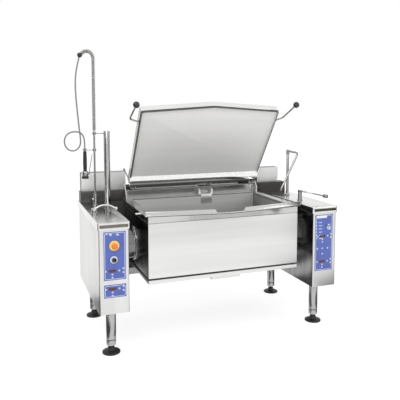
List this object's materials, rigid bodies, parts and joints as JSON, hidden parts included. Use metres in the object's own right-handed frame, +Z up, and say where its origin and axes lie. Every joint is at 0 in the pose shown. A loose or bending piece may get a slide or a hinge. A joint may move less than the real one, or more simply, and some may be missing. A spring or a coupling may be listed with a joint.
{
  "type": "tilting bratt pan",
  "caption": "Electric bratt pan tilting between two consoles on legs, with a hinged lid, hand spray, lever taps and a swivelling filling spout.",
  "frame": {"origin": "on the floor, in the middle plane of the pan, half way between the pouring lip and the backs of the console covers", "axes": "+X from the console with the spray to the console with the spout, +Y from front to back, +Z up"},
  "size_m": [1.8705, 0.959, 2.0349],
  "materials": {
    "sheet": "brushed",
    "rim": "satin",
    "frame_steel": "satin",
    "dark_strip": "matt",
    "black_rubber": "matt",
    "black_plastic": "smooth",
    "blue_panel": "printed foil",
    "red_display": "smooth",
    "pale_keys": "matt",
    "yellow": "smooth",
    "red": "smooth",
    "chrome": "polished",
    "pole_grey": "satin",
    "dark_beam": "satin",
    "box_grey": "satin",
    "seal": "matt",
    "wool": "fibrous",
    "cast": "painted",
    "motor_paint": "satin",
    "box_plastic": "matt",
    "hose_cover": "ribbed"
  },
  "bodies": {
    "machine": {"left_casing": "sheet", "right_casing": "sheet", "left_cover": "sheet", "right_cover": "sheet", "cover_strips": "dark_strip", "console_frames": "frame_steel", "legs": "sheet", "foot_stems": "black_plastic", "feet": "black_rubber", "bearings": "cast", "tilt_gearbox": "cast", "tilt_motor": "motor_paint", "control_box": "box_plastic", "rear_beam": "dark_beam", "left_box": "box_grey", "right_box": "box_grey", "rear_panel": "dark_beam", "control_panels": "blue_panel", "displays": "red_display", "membrane_keys": "pale_keys", "stop_ring": "yellow", "spray_valve": "chrome", "spray_riser": "chrome", "spray_pole": "pole_grey", "riser_clamps": "chrome", "spring_guard": "chrome", "guard_ball": "chrome", "hose": "hose_cover", "spray_grip": "black_rubber", "spray_body": "chrome", "spray_face": "black_rubber", "lever_taps": "chrome", "spout_column": "chrome"},
    "pan": {"vessel": "sheet", "rim_frame": "rim", "pan_casing": "sheet", "bottom_cover": "sheet", "cradle": "frame_steel", "heating_elements": "frame_steel", "insulation": "wool", "trunnions": "frame_steel", "hinge_brackets": "sheet", "hinge_shaft": "chrome", "spring_sleeves": "black_plastic"},
    "lid": {"lid_shell": "sheet", "lid_liner": "rim", "lid_seal": "seal", "lid_arms": "sheet", "lid_knuckle": "sheet", "handle_rods": "chrome", "handle_balls": "black_plastic"},
    "lid_catch_body": {"lid_catch": "frame_steel"},
    "stop_button_body": {"stop_button": "red"},
    "tilt_selector_body": {"tilt_selector": "red"},
    "panel_dial_body": {"panel_dial": "pale_keys"},
    "valve_knob_body": {"valve_knob": "black_plastic"},
    "spray_trigger_body": {"spray_trigger": "chrome"},
    "left_lever_body": {"left_lever": "chrome"},
    "right_lever_body": {"right_lever": "chrome"},
    "swivel_spout_body": {"swivel_spout": "chrome"}
  },
  "joints": [
    {"name": "pan_tilt", "type": "hinge", "parent": "machine", "child": "pan", "pos_m": [0, 0.0135, 0.655], "axis": [1, 0, 0], "range_deg": [0, 90]},
    {"name": "lid_hinge", "type": "hinge", "parent": "pan", "child": "lid", "pos_m": [0, 0.3135, 1.01], "axis": [1, 0, 0], "range_deg": [0, 54.4]},
    {"name": "catch_turn", "type": "hinge", "parent": "pan", "child": "lid_catch_body", "pos_m": [-0.497, 0.3135, 1.01], "axis": [1, 0, 0], "range_deg": [-20, 17]},
    {"name": "stop_press", "type": "slide", "parent": "machine", "child": "stop_button_body", "axis": [0, 1, 0], "range_m": [0, 0.004], "stiffness_N_per_m": 1500},
    {"name": "tilt_switch_turn", "type": "hinge", "parent": "machine", "child": "tilt_selector_body", "pos_m": [-0.774, -0.4015, 0.661], "axis": [0, 1, 0], "range_deg": [-45, 45], "stiffness_Nm_per_rad": 0.25},
    {"name": "dial_turn", "type": "hinge", "parent": "machine", "child": "panel_dial_body", "pos_m": [0.8, -0.4015, 0.744], "axis": [0, 1, 0], "range_deg": [-135, 135]},
    {"name": "valve_turn", "type": "hinge", "parent": "machine", "child": "valve_knob_body", "pos_m": [-0.801, 0.2535, 0.942], "axis": [-1, 0, 0], "range_deg": [0, 180]},
    {"name": "spray_squeeze", "type": "hinge", "parent": "machine", "child": "spray_trigger_body", "pos_m": [-0.818, 0.2535, 1.134], "axis": [0, -1, 0], "range_deg": [0, 9], "stiffness_Nm_per_rad": 2},
    {"name": "left_lever_turn", "type": "hinge", "parent": "machine", "child": "left_lever_body", "pos_m": [-0.846, -0.1015, 0.928], "axis": [0, 0, 1], "range_deg": [-90, 0]},
    {"name": "right_lever_turn", "type": "hinge", "parent": "machine", "child": "right_lever_body", "pos_m": [0.742, -0.1015, 0.966], "axis": [0, 0, 1], "range_deg": [-45, 30]},
    {"name": "spout_swivel", "type": "hinge", "parent": "machine", "child": "swivel_spout_body", "pos_m": [0.77, 0.1435, 1.236], "axis": [0, 0, 1], "range_deg": [-140, 140]}
  ]
}
